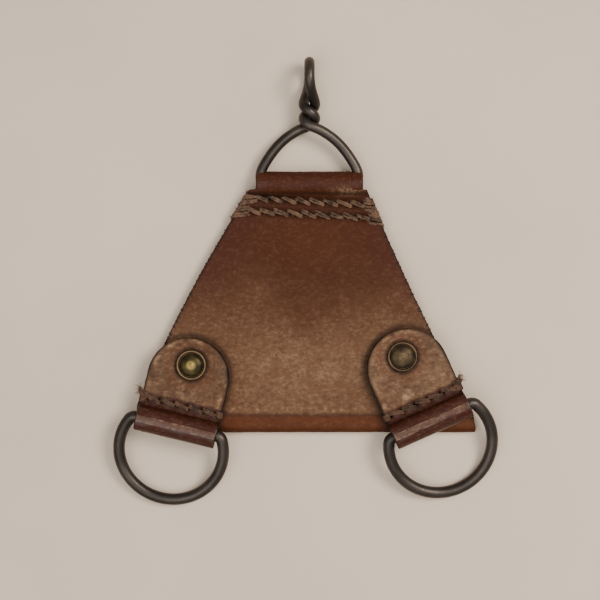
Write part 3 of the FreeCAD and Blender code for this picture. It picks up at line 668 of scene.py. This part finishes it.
def make_tab(name, inward):
    """A tab folded round its ring's bar, dished under the rivet and worn flat on top of the fold, with
    painted highlight lines along the roll and a painted highlight between the stitches.
    """
    mesh = softened(f"{name}_tab", 0.24 * MM, 5)
    points, normals = read(mesh)
    origin, along, out, up = tab_frame(name)
    axes = np.array([along, out, up])
    tx, ty, tz = ((points - np.array(origin)) @ axes.T).T
    front = rise(normals[:, 2], 0.2, 0.8)
    roll = 1 - rise(ty, 3.2 * MM, 5.0 * MM)
    side = 1 - rise(np.abs(normals[:, 2]), 0.3, 0.75)
    side *= 1 - roll * (np.abs(tx) < TAB_HALF_WIDTH - 0.5 * MM)
    rivet = centre_of(f"{name}_rivet")
    away = np.hypot(points[:, 0] - rivet.x, points[:, 1] - rivet.y)
    inset = -tab_distance(name, points)

    dish = bell(away, 0, 6.0 * MM, 4)
    ring = bell(away, 7.0 * MM, 1.2 * MM)
    row = bell(ty, TAB_ROW_Y, 1.15 * MM)
    between = 0.5 + 0.5 * np.cos(math.tau * tx / TAB_PITCH)
    swell = waves(points, 8 * MM, 5.0 + inward) * 0.22 + waves(points, 2.6 * MM, 1.0) * 0.07
    push = swell * MM * front
    push += front * (1 - roll) * (-0.38 * dish + 0.25 * ring) * MM
    push -= (0.55 - 0.3 * between) * MM * row * front
    push -= 0.3 * MM * rise(tz, 2.9 * MM, 3.9 * MM) * roll * (0.8 + 0.5 * waves(points, 6 * MM, 8.0))
    line = bell(points[:, 2], TAB_LAYER_LINE, 0.28 * MM) * side * (ty > 3.5 * MM)
    push -= 0.4 * MM * line
    push += waves(points, 1.4 * MM, 3.0) * 0.08 * MM * side
    points += normals * push[:, None]
    write(mesh, points)

    # The right tab is more rubbed than the left one, and each is darker on one side.
    right = name == "right"
    uneven = waves(points, 3.0 * MM, 7.0)
    top_line = 0.1 * MM
    land = bell(ty, top_line, 0.75 * MM, 4) * roll * front
    # Painted highlight lines along both sides of the roll's worn crest.
    painted_highlight_lines = bell(np.abs(ty - top_line), 0.85 * MM, 0.18 * MM) * roll * front
    flat = rise(ty, 7.2 * MM, 8.6 * MM) * front
    burnished = bell(inset, 0, 0.75 * MM) * (1 - roll)
    # The row * between term is a painted highlight on the leather bumps between the stitches; the rest is
    # wear.
    wear = flat * (0.85 if right else 0.7) * (1 - 0.4 * dish) + 0.65 * land + 0.25 * row * between
    wear = wear + (uneven * 0.2 + waves(points, 7 * MM, 11.0) * 0.25) * flat
    set_values(mesh, "wear", np.clip(wear, 0, 1))

    pink = rise(tx * inward, 1 * MM, 10 * MM) * rise(-ty, -19 * MM, -10 * MM) * flat
    set_values(mesh, "warm", np.clip(0.5 * ring * flat + 0.4 * dish + 0.45 * pink + 0.5 * land, 0, 1))
    set_values(mesh, "red", np.clip(roll * (1 - 0.5 * land) + 0.6 * (1 - flat) * (1 - roll), 0, 1))

    inner_rim = bell(inset, 1.3 * MM, 0.55 * MM) * flat * rise(uneven, -0.15, 0.3)
    lower_rub = bell(ty, 10.5 * MM, 2.2 * MM) * flat * rise(uneven, -0.1, 0.5)
    # The last term paints the highlight lines on the roll.
    rubbed = 0.6 * inner_rim + (0.8 if right else 0.25) * lower_rub + 0.6 * painted_highlight_lines * (0.6 + 0.8 * uneven)
    set_values(mesh, "rubbed", np.clip(rubbed, 0, 1))

    # Darker towards one side of the tab's rounded end.
    towards_dark_side = -tx * inward if right else tx * inward
    dark_side_patch = 0.5 * (rise(towards_dark_side, 5 * MM, 11 * MM) * rise(ty, 14 * MM, 20 * MM)) * flat
    dark_side_patch = dark_side_patch * rise(uneven, -0.5, 0.4)
    cup_shadow = bell(away, 5.1 * MM, 0.5 * MM) * front
    cut = side * 0.92 + line * 0.3 + 0.85 * burnished * front + dark_side_patch + 0.6 * cup_shadow
    set_values(mesh, "cut", np.clip(cut, 0, 1))
    set_values(mesh, "gloss", np.clip(0.15 + 0.85 * roll + 0.4 * (1 - flat) * (1 - roll), 0, 1))
    new_object(f"{name}_tab_leather", mesh, TAB_LEATHER, "yoke", [f"{name}_tab"])


# ---- sewing ----------------------------------------------------------------------------------------------

def make_panel_row(node, count):
    """A saddle-stitched row across the panel, with loose fibres, the thread behind and the wraps over
    both side edges."""
    skein = Skein()
    middle, along = row_line(node)
    across = Vector((-along.y, along.x, 0))
    surface = PANEL_THICK - THREAD_SUNK
    start = -count / 2
    for i in range(count):
        for strand, shift in enumerate((0.3, -0.3)):
            a = middle + along * ROW_PITCH * (start + i - 0.16) + across * (1.0 + shift) * MM
            b = middle + along * ROW_PITCH * (start + i + 1.12) - across * (1.0 - shift) * MM
            wobble = across * rng.uniform(-0.2, 0.2) * MM
            high = surface + rng.uniform(0.6, 0.8) * MM - strand * 0.1 * MM
            skein.cord([
                Vector((a.x, a.y, surface - 0.9 * MM)),
                Vector((*(a.lerp(b, 0.12)).xy, surface + 0.15 * MM)) + wobble,
                Vector((*(a.lerp(b, 0.4)).xy, high)) + wobble,
                Vector((*(a.lerp(b, 0.66)).xy, high)) - wobble * 0.5,
                Vector((*(a.lerp(b, 0.9)).xy, surface + 0.1 * MM)),
                Vector((b.x, b.y, surface - 0.9 * MM)),
            ], radius=0.38 * MM, lay=5.4 * MM, pale=rng.uniform(0.05, 0.45), taper=0.35)
        spot = a.lerp(b, rng.random())
        skein.fuzz(Vector((spot.x, spot.y, high)), (1.4 * MM, 0.6 * MM, 0.15 * MM), 1.0 * MM, 4, 0.5)
        back = [middle + along * ROW_PITCH * (start + i + k) for k in (0.08, 0.5, 0.92)]
        lift = [0.7 * MM, 0.42 * MM, 0.7 * MM]
        behind = [Vector((p.x, p.y, height)) for p, height in zip(back, lift)]
        skein.cord(behind, radius=0.42 * MM, lay=2.6 * MM, plies=2, pale=0.4)
    for sign in (-1, 1):
        end = middle + along * ROW_PITCH * sign * (count / 2 - 0.1)
        for k in range(EDGE_WRAPS):
            level = end.y + (0.4 - k / (EDGE_WRAPS - 1)) * 3.4 * MM + rng.uniform(-0.3, 0.3) * MM
            rim = edge_x(level, sign)
            inner = end.x - sign * rng.uniform(0.0, 0.8) * MM
            outer = rim + sign * rng.uniform(0.15, 0.3) * MM
            top = PANEL_THICK + rng.uniform(0.1, 0.3) * MM
            skein.cord([
                Vector((inner, level + 0.9 * MM, surface - 0.2 * MM)),
                Vector((inner + sign * 0.7 * MM, level + 0.6 * MM, top)),
                Vector((rim - sign * 0.35 * MM, level + 0.25 * MM, top)),
                Vector((outer, level, PANEL_THICK - 0.7 * MM)),
                Vector((outer, level - 0.2 * MM, 1.4 * MM)),
                Vector((rim - sign * 0.5 * MM, level - 0.3 * MM, 0.5 * MM)),
                Vector((rim - sign * 2.2 * MM, level - 0.3 * MM, 0.5 * MM)),
            ], radius=0.46 * MM, lay=4.0 * MM, pale=rng.uniform(0.0, 0.25), taper=0.4)
            loose = Vector((rim, level, PANEL_THICK * 0.7))
            skein.fuzz(loose, (0.5 * MM, 0.6 * MM, 1.2 * MM), 0.9 * MM, 7, 0.4)
    new_object(node + "_cord", skein.mesh(node + "_cord"), ROW_THREAD, "yoke", [node])


def make_tab_row(name, inward):
    """The stitches across a tab beside its ring, with the thread behind, wraps over both edges and
    frayed tails at the outer one."""
    skein = Skein()
    origin, along, out, up = tab_frame(name)

    def at(tx, ty, z):
        p = origin + along * tx + out * ty
        return Vector((p.x, p.y, z))

    surface = TAB_TOP - THREAD_SUNK
    for i in range(TAB_STITCHES):
        left, right = TAB_PITCH * (i - 2.56), TAB_PITCH * (i - 1.44)
        row = TAB_ROW_Y + rng.uniform(-0.2, 0.2) * MM
        for shift in (0.3 * MM, -0.3 * MM):
            lean = 0.6 * MM
            top = surface + rng.uniform(0.3, 0.5) * MM
            skein.cord([
                at(left, row + lean + shift, surface - 0.9 * MM),
                at(left + 0.5 * MM, row + lean + shift, surface + 0.1 * MM),
                at(left * 0.62 + right * 0.38, row + lean * 0.3 + shift, top),
                at(left * 0.35 + right * 0.65, row - lean * 0.4 + shift, top),
                at(right - 0.5 * MM, row - lean + shift, surface + 0.1 * MM),
                at(right, row - lean + shift, surface - 0.9 * MM),
            ], radius=0.44 * MM, lay=6.0 * MM, pale=rng.uniform(0.1, 0.5), taper=0.45)
        skein.fuzz(at((left + right) / 2, row, top), (1.4 * MM, 0.5 * MM, 0.1 * MM), 0.9 * MM, 4, 0.4)
        skein.cord([
            at(left + 0.9 * MM, TAB_ROW_Y, 0.75 * MM),
            at((left + right) / 2, TAB_ROW_Y, 0.45 * MM),
            at(right - 0.9 * MM, TAB_ROW_Y, 0.75 * MM),
        ], radius=0.42 * MM, lay=2.6 * MM, plies=2, pale=0.4)
    inner_rim = inward * TAB_HALF_WIDTH
    for k in range(3):
        row = TAB_ROW_Y + (0.5 - 0.65 * k) * MM
        skein.cord([
            at(inner_rim - inward * (2.2 - 0.3 * k) * MM, row + 0.3 * MM, surface - 0.2 * MM),
            at(inner_rim - inward * 0.8 * MM, row + 0.1 * MM, TAB_TOP + 0.05 * MM),
            at(inner_rim + inward * 0.1 * MM, row, TAB_TOP - 0.7 * MM),
            at(inner_rim + inward * 0.15 * MM, row - 0.1 * MM, TAB_TOP - 2.0 * MM),
            at(inner_rim - inward * 0.2 * MM, row - 0.1 * MM, PANEL_THICK + 0.5 * MM),
        ], radius=0.42 * MM, lay=4.0 * MM, pale=rng.uniform(0.0, 0.2), taper=0.5)
    rim = -inward * TAB_HALF_WIDTH
    for k in range(EDGE_WRAPS):
        row = TAB_ROW_Y + (1.3 - 0.65 * k) * MM
        skein.cord([
            at(rim + inward * rng.uniform(1.8, 2.8) * MM, row + 0.4 * MM, surface),
            at(rim + inward * 0.8 * MM, row + 0.3 * MM, TAB_TOP + 0.15 * MM),
            at(rim - inward * 0.2 * MM, row + 0.2 * MM, TAB_TOP - 0.6 * MM),
            at(rim - inward * 0.25 * MM, row, TAB_TOP - 2.0 * MM),
            at(rim + inward * 0.3 * MM, row - 0.1 * MM, PANEL_THICK + 0.6 * MM),
        ], radius=0.46 * MM, lay=4.0 * MM, pale=rng.uniform(0.1, 0.5), taper=0.4)
    for k in range(4):
        start = at(rim + inward * 0.8 * MM, TAB_ROW_Y + (0.2 + 0.4 * k) * MM, TAB_TOP + 0.1 * MM)
        tip = at(rim - inward * rng.uniform(0.7, 1.5) * MM, TAB_ROW_Y + (1.2 + 0.5 * k) * MM,
                 TAB_TOP - rng.uniform(0.6, 1.8) * MM)
        tail = [start, (start + tip) / 2 + up * 0.25 * MM, tip]
        skein.cord(tail, radius=0.4 * MM, lay=3.0 * MM, pale=0.4, taper=0.5)
        skein.fuzz(tip, (0.5 * MM, 0.7 * MM, 0.4 * MM), 1.1 * MM, 12, 0.4)
    node = f"{name}_tab_stitches"
    new_object(node + "_cord", skein.mesh(node + "_cord"), TAB_THREAD, "yoke", [node])


def make_side_seam(name, inward):
    """Whip stitches over the panel's cut edge, sunk into small nicks."""
    skein = Skein()
    node = f"{name}_side_seam"
    sign = -inward
    low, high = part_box(node)
    for i in range(SEAM_STITCHES):
        place = i + rng.uniform(-0.3, 0.3)
        y = high.y + 1.0 * MM - (high.y - low.y + 4 * MM) * place / (SEAM_STITCHES - 1)
        rim = edge_x(y, sign)
        slope = (edge_x(y + 1 * MM, sign) - edge_x(y - 1 * MM, sign)) / (2 * MM)
        away = Vector((sign, -sign * slope, 0)).normalized()
        down = Vector((-away.y, away.x, 0)) * rng.uniform(-0.5, 0.5) * MM
        base = Vector((rim, y, 0))
        proud = rng.uniform(-0.05, 0.12) * MM
        skein.cord([
            base - away * 1.3 * MM + Vector((0, 0, PANEL_THICK - 0.4 * MM)) + down,
            base - away * 0.7 * MM + Vector((0, 0, PANEL_THICK + 0.1 * MM)) + down * 0.6,
            base - away * 0.1 * MM + Vector((0, 0, PANEL_THICK - 0.2 * MM)),
            base + away * proud + Vector((0, 0, LAYER_LINE)),
            base - away * 0.1 * MM + Vector((0, 0, 0.7 * MM)),
            base - away * 1.0 * MM + Vector((0, 0, 0.35 * MM)),
        ], radius=0.25 * MM, lay=2.6 * MM, plies=2, pale=0.3, taper=0.6)
    new_object(node + "_cord", skein.mesh(node + "_cord"), SEAM_THREAD, "yoke", [node])


# ---- metal -----------------------------------------------------------------------------------------------

def turned(name, profile, centre, material, replaced, rub, dents=0.0, segments=72):
    """A lathe-turned piece about a vertical axis, dented a little if dents isn't 0.
    profile is (radius, height) in mm."""
    points = smooth_profile(profile)
    mesh = bpy.data.meshes.new(name)
    verts, faces = [], []
    for k in range(segments):
        turn = math.tau * k / segments
        for radius, height in points:
            verts.append((centre.x + radius * math.cos(turn) * MM,
                          centre.y + radius * math.sin(turn) * MM, height * MM))
    size = len(points)
    for k in range(segments):
        for i in range(size - 1):
            a, b = k * size + i, ((k + 1) % segments) * size + i
            faces.append((a, b, b + 1, a + 1))
    mesh.from_pydata(verts, [], faces)
    shape = bmesh.new()
    shape.from_mesh(mesh)
    bmesh.ops.remove_doubles(shape, verts=shape.verts, dist=1e-6)
    bmesh.ops.holes_fill(shape, edges=shape.edges)
    bmesh.ops.recalc_face_normals(shape, faces=shape.faces)
    shape.to_mesh(mesh)
    shape.free()
    mesh.shade_smooth()
    places, normals = read(mesh)
    if dents:
        places += normals * (waves(places, 2.2 * MM, dents) * 0.07 * MM)[:, None]
        write(mesh, places)
    set_values(mesh, "rub", rub(places))
    new_object(name, mesh, material, "yoke", replaced)


def smooth_profile(profile, bevel=0.12):
    """The profile with each sharp corner cut back by a small round."""
    out = []
    for i, (radius, height) in enumerate(profile):
        if i in (0, len(profile) - 1):
            out.append((radius, height))
            continue
        here = Vector((radius, height))
        before, after = Vector(profile[i - 1]) - here, Vector(profile[i + 1]) - here
        cut = min(bevel, before.length * 0.4, after.length * 0.4)
        a, b = here + before.normalized() * cut, here + after.normalized() * cut
        for t in (0, 0.35, 0.65, 1):
            out.append(tuple(a * (1 - t) ** 2 + here * 2 * t * (1 - t) + b * t ** 2))
    return out


def make_rivet(name, rub_and_painted_highlight, brass):
    """A tab's rivet and cup washer, bright at the dome's centre and on the cup's rim as far as the given
    share says, with rubbed brass and a painted highlight, and the burr behind the panel.
    """
    centre = centre_of(f"{name}_rivet")
    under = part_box(f"{name}_cup_washer")[0][2] / MM
    seat = under + CUP_FLOOR
    dome = []
    for angle in np.linspace(0.12, math.pi / 2, 12):
        height = seat + HEAD_EDGE + (HEAD_HEIGHT - HEAD_EDGE) * math.cos(angle)
        dome.append((HEAD_RADIUS * math.sin(angle), height))
    top = seat + HEAD_HEIGHT
    head = [(0.0, top + 0.1), (0.45, top + 0.08), (0.75, top - 0.04)] + dome[1:]
    shank = [
        (3.5, seat + 0.02),
        (SHANK_RADIUS, seat + 0.02),
        (SHANK_RADIUS, 0.56),
        (2.55, 0.56),
        (2.3, 0.3),
        (0.0, 0.08),
    ]

    # Bright at the dome's centre: rubbed brass with a painted highlight on top.
    def rub(places):
        away = np.hypot(places[:, 0] - centre.x, places[:, 1] - centre.y)
        uneven = 0.9 + 0.4 * waves(places, 1.2 * MM, 2.0)
        return np.clip((1 - rise(away, 0.5 * MM, 1.9 * MM)) * rub_and_painted_highlight * uneven, 0, 1)

    turned(f"{name}_rivet_brass", head + shank, centre, brass, [f"{name}_rivet"], rub, 3.0)
    cup = [
        (BRASS_BORE, under),
        (4.65, under),
        (4.7, under + 0.51),
        (4.45, under + 0.89),
        (4.05, under + 0.87),
        (3.75, under + 0.51),
        (BRASS_BORE, under + 0.46),
        (BRASS_BORE, under),
    ]

    # Bright along the cup's raised rim: rubbed brass with a painted highlight.
    def rim_rub_and_painted_highlight(places):
        rim = rise(places[:, 2], (under + 0.56) * MM, (under + 0.91) * MM)
        return np.clip(rim * 0.35 * rub_and_painted_highlight, 0, 1)

    turned(f"{name}_cup_brass", cup, centre, WASHER_BRASS, [f"{name}_cup_washer"],
           rim_rub_and_painted_highlight, 6.0)
    burr = [
        (BRASS_BORE, BURR_BACK),
        (BURR_RADIUS, BURR_BACK),
        (BURR_RADIUS, BURR_FRONT),
        (BRASS_BORE, BURR_FRONT),
        (BRASS_BORE, BURR_BACK),
    ]
    turned(f"{name}_burr_brass", burr, centre, WASHER_BRASS, [f"{name}_rivet_burr"],
           lambda places: 0.2)


def dress_wire(node):
    """The CAD wire keeps its shape and gets the old steel finish."""
    thing = frame["nodes"][node]
    thing.data.materials.clear()
    thing.data.materials.append(WIRE_STEEL)


# How bright each rivet's centre and cup rim are, as rubbed brass with a painted highlight, and its brass.
RIVET_FINISH = {"left": (0.9, RIVET_BRASS), "right": (0.3, DULL_BRASS)}


# ---- stage -----------------------------------------------------------------------------------------------

def make_floor():
    bpy.ops.mesh.primitive_plane_add(size=6, location=(0, 0, -0.02 * MM))
    floor = bpy.context.object
    floor.name = "floor"
    g = Graph("floor_pale")
    soft = g.noise(14, 3, 0.5)
    colour = g.mix(g.span(soft, 0.3, 0.7), linear(199, 179, 158), linear(205, 185, 164))
    floor.data.materials.append(g.finish(Base_Color=colour, Roughness=0.9))


def area_light(name, place, size, power, colour=(1, 1, 1)):
    lamp = bpy.data.lights.new(name, "AREA")
    lamp.shape = "DISK"
    lamp.size = size
    lamp.energy = power
    lamp.color = colour
    thing = bpy.data.objects.new(name, lamp)
    bpy.context.scene.collection.objects.link(thing)
    thing.location = place
    thing.rotation_euler = (-Vector(place)).to_track_quat("-Z", "Y").to_euler()


def make_light():
    area_light("key", (0.5, 0.2, 0.75), 0.4, 8.0, (1.0, 0.97, 0.93))
    area_light("fill", (-0.5, -0.35, 0.9), 1.0, 4.5, (0.98, 0.99, 1.0))
    area_light("overhead", (0.0, -0.25, 1.25), 1.4, 9.0)
    world = bpy.data.worlds.new("studio")
    world.use_nodes = True
    world.node_tree.nodes["Background"].inputs[0].default_value = (0.97, 0.97, 1.0, 1)
    world.node_tree.nodes["Background"].inputs[1].default_value = 0.42
    bpy.context.scene.world = world


def make_camera():
    camera = bpy.data.cameras.new("camera")
    height = 0.45
    view_width = 0.1875
    view_middle = (-1.2 * MM, 0.65 * MM)
    camera.sensor_width = 36
    camera.lens = camera.sensor_width * height / view_width
    camera.clip_start = 0.01
    thing = bpy.data.objects.new("camera", camera)
    bpy.context.scene.collection.objects.link(thing)
    thing.location = (*view_middle, height)
    bpy.context.scene.camera = thing


make_panel()
for side_name, inward in SIDES.items():
    make_tab(side_name, inward)
    make_tab_row(side_name, inward)
    make_side_seam(side_name, inward)
    make_rivet(side_name, *RIVET_FINISH[side_name])
    dress_wire(f"{side_name}_d_ring")
dress_wire("hanger_wire")
make_roll_end("left_roll_end", -1)
make_roll_end("right_roll_end", 1)
for row_name, stitches in ROWS.items():
    make_panel_row(row_name, stitches)
make_floor()
make_light()
make_camera()
